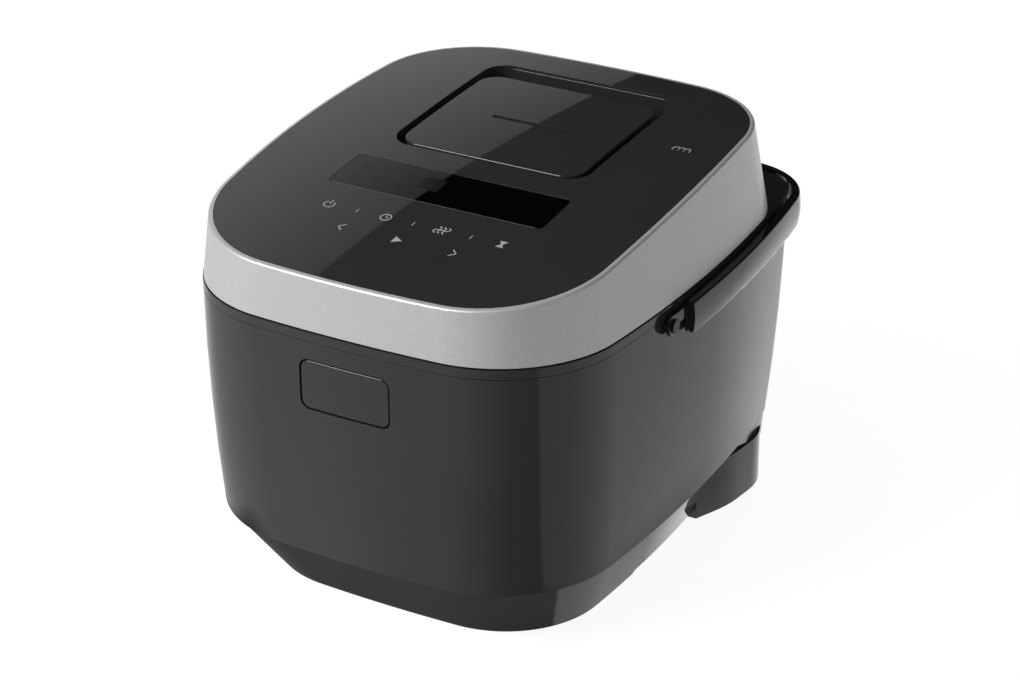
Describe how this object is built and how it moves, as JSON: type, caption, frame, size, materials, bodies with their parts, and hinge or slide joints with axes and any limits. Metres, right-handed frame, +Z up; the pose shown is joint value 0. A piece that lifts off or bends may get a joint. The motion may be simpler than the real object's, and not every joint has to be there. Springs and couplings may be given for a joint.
{
  "type": "rice cooker",
  "caption": "Induction rice cooker: charcoal tapered body, silver-ringed hinged lid with display and steam cap, front release button, removable-style inner pot and folding carry handle.",
  "frame": {"origin": "on the floor, below the middle of the whole cooker", "axes": "+X to the cooker's left as it faces you from the front (right in the picture), +Y to the rear, +Z up; the front button faces -Y"},
  "size_m": [0.276, 0.3434, 0.2398],
  "materials": {
    "charcoal_gloss": "charcoal plastic with a deep clear gloss",
    "silver_flake": "silver-grey metallic paint with fine flake",
    "panel_black": "gloss black panel with pale printed symbols",
    "display_dark": "near-black clear window",
    "steam_black": "black plastic, softly glossy",
    "handle_black": "gloss black",
    "collar_dark": "charcoal plastic, glossy",
    "base_black": "black moulded plastic, fine grain",
    "frame_dark": "dark grey moulded plastic",
    "soft_rubber": "soft grey-black rubber",
    "seal_grey": "grey silicone",
    "plate_steel": "brushed",
    "plain_steel": "plain bright steel",
    "pot_coating": "dark non-stick coating",
    "heater_foil": "bare aluminium",
    "coil_copper": "lacquered copper wire",
    "ferrite_grey": "grey ferrite",
    "board_green": "green circuit board",
    "contact_metal": "plated contact pins"
  },
  "bodies": {
    "base": {"body_shell": "charcoal_gloss", "upper_collar": "collar_dark", "plinth_skirt": "charcoal_gloss", "base_tray": "base_black", "rear_base": "base_black", "rubber_feet": "soft_rubber", "base_screws": "plain_steel", "power_inlet": "base_black", "inlet_pins": "contact_metal", "pot_well": "heater_foil", "inner_pot": "pot_coating", "warm_heater": "heater_foil", "coil_carrier": "frame_dark", "induction_coil": "coil_copper", "ferrite_bars": "ferrite_grey", "sensor_holder": "frame_dark", "sensor_spring": "plain_steel", "power_board": "board_green", "heat_sink": "heater_foil", "filter_capacitors": "frame_dark", "fan_housing": "frame_dark", "latch_bracket": "frame_dark", "latch_pin": "plain_steel", "button_springs": "plain_steel", "hinge_pin": "plain_steel", "hinge_spring": "plain_steel", "handle_pivots": "handle_black"},
    "lid": {"lid_ring": "silver_flake", "lid_panel": "panel_black", "display_window": "display_dark", "display_module": "frame_dark", "control_board": "board_green", "vent_tray": "steam_black", "steam_seal": "seal_grey", "lid_frame": "frame_dark", "lid_heater": "heater_foil", "inner_lid": "plate_steel", "lid_gasket": "seal_grey", "lid_catch": "plain_steel", "lid_screws": "plain_steel"},
    "steam_cap": {"steam_cap": "steam_black", "steam_cap_base": "steam_black"},
    "button": {"lid_button": "charcoal_gloss"},
    "latch": {"latch_lever": "plain_steel"},
    "handle": {"carry_handle": "handle_black"},
    "sensor": {"pot_sensor": "heater_foil"},
    "fan": {"fan_rotor": "frame_dark"}
  },
  "joints": [
    {"name": "lid_hinge", "type": "hinge", "parent": "base", "child": "lid", "pos_m": [0, 0.1457, 0.1773], "axis": [-1, 0, 0], "range_deg": [0, 95]},
    {"name": "cap_lift", "type": "slide", "parent": "lid", "child": "steam_cap", "axis": [0, 0, 1], "range_m": [0, 0.06]},
    {"name": "button_slide", "type": "slide", "parent": "base", "child": "button", "axis": [0, 1, 0], "range_m": [0, 0.003], "stiffness_N_per_m": 500, "springref_m": -0.004, "deforming": ["button_springs"]},
    {"name": "latch_turn", "type": "hinge", "parent": "base", "child": "latch", "pos_m": [0, -0.1508, 0.14], "axis": [-1, 0, 0], "range_deg": [0, 14.5]},
    {"name": "handle_swing", "type": "hinge", "parent": "base", "child": "handle", "pos_m": [0, -0.0493, 0.1726], "axis": [1, 0, 0], "range_deg": [0, 95]},
    {"name": "sensor_press", "type": "slide", "parent": "base", "child": "sensor", "axis": [0, 0, -1], "range_m": [0, 0.0025], "stiffness_N_per_m": 600, "springref_m": -0.004, "deforming": ["sensor_spring"]},
    {"name": "fan_spin", "type": "hinge", "parent": "base", "child": "fan", "pos_m": [0.062, 0.0017, 0.0145], "axis": [0, 0, 1], "continuous": true}
  ],
  "couplings": [
    {"joint": "latch_turn", "follows": "button_slide", "rad_per_m": 83.333}
  ]
}
